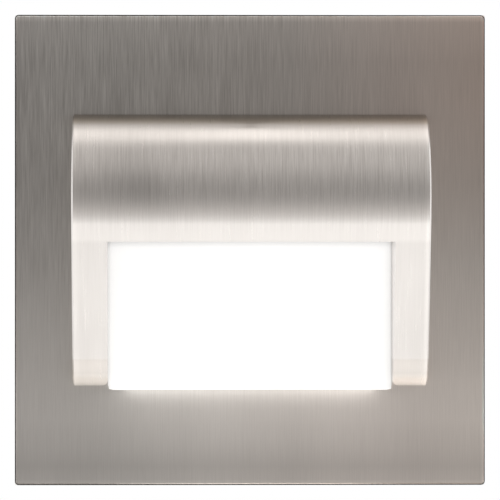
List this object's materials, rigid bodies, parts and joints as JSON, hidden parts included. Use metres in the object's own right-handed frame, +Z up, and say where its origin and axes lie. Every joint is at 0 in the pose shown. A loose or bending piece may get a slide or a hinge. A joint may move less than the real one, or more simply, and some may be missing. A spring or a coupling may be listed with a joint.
{
  "type": "step light",
  "caption": "Square recessed step light with a cast hood over a lit window, a round wall box body, leaf springs and a screw terminal.",
  "frame": {"origin": "middle of the square plate, on the wall's surface", "axes": "+Y into the wall, +Z up, +X to the right as seen from in front; the light looks along -Y"},
  "size_m": [0.075, 0.0495, 0.075],
  "materials": {
    "brushed_plate": "stainless sheet brushed up and down",
    "brushed_hood": "casting, finely brushed along the slope",
    "opal": "opal acrylic, lit from behind",
    "silicone": "soft translucent silicone",
    "white_plastic": "moulded white plastic",
    "foam": "closed cell foam",
    "zinc": "zinc plated steel",
    "white_board": "white lacquered circuit board",
    "lamp": "phosphor in a white case",
    "thermal_pad": "soft filled silicone sheet",
    "aluminium": "bare aluminium",
    "green_board": "green lacquered circuit board",
    "capacitor_can": "sleeved can",
    "ferrite": "sintered ferrite",
    "chip_case": "moulded epoxy",
    "black_plastic": "moulded black plastic, fine grain",
    "tinned": "tinned copper",
    "nickel": "nickel plated brass",
    "terminal_plastic": "moulded light grey plastic",
    "spring_steel": "bright spring steel"
  },
  "bodies": {
    "housing": {"face_plate": "brushed_plate", "hood": "brushed_hood", "diffuser": "opal", "diffuser_seal": "silicone", "light_tray": "white_plastic", "wall_gasket": "foam", "hood_screws": "zinc", "cover_screws": "zinc", "led_board": "white_board", "leds": "lamp", "thermal_pad": "thermal_pad", "heat_spreader": "aluminium", "driver_board": "green_board", "input_capacitor": "capacitor_can", "power_inductor": "ferrite", "bridge_rectifier": "chip_case", "driver_chip": "chip_case", "sense_resistors": "chip_case", "link_block": "black_plastic", "link_pins": "tinned", "rear_cover": "black_plastic", "terminal_body": "terminal_plastic", "terminal_contacts": "tinned"},
    "right_spring": {"spring_right": "spring_steel"},
    "left_spring": {"spring_left": "spring_steel"},
    "plus_screw": {"terminal_screw_plus": "zinc"},
    "minus_screw": {"terminal_screw_minus": "zinc"},
    "plus_cage": {"terminal_cage_plus": "nickel"},
    "minus_cage": {"terminal_cage_minus": "nickel"}
  },
  "joints": [
    {"name": "right_spring_swing", "type": "hinge", "parent": "housing", "child": "right_spring", "pos_m": [0.0276, 0.0256, 0], "axis": [0, 0, -1], "range_deg": [0, 12], "stiffness_Nm_per_rad": 1.5},
    {"name": "left_spring_swing", "type": "hinge", "parent": "housing", "child": "left_spring", "pos_m": [-0.0276, 0.0256, 0], "axis": [0, 0, 1], "range_deg": [0, 12], "stiffness_Nm_per_rad": 1.5},
    {"name": "plus_screw_turn", "type": "hinge", "parent": "housing", "child": "plus_screw", "pos_m": [0.0025, 0.0267, -0.0193], "axis": [0, -1, 0], "range_deg": [0, 1440]},
    {"name": "minus_screw_turn", "type": "hinge", "parent": "housing", "child": "minus_screw", "pos_m": [-0.0025, 0.0267, -0.0193], "axis": [0, -1, 0], "range_deg": [0, 1440]},
    {"name": "plus_cage_lift", "type": "slide", "parent": "housing", "child": "plus_cage", "axis": [0, 1, 0], "range_m": [0, 0.0018]},
    {"name": "minus_cage_lift", "type": "slide", "parent": "housing", "child": "minus_cage", "axis": [0, 1, 0], "range_m": [0, 0.0018]}
  ],
  "couplings": [
    {"joint": "plus_screw_turn", "follows": "plus_cage_lift", "rad_per_m": 13963},
    {"joint": "minus_screw_turn", "follows": "minus_cage_lift", "rad_per_m": 13963}
  ]
}
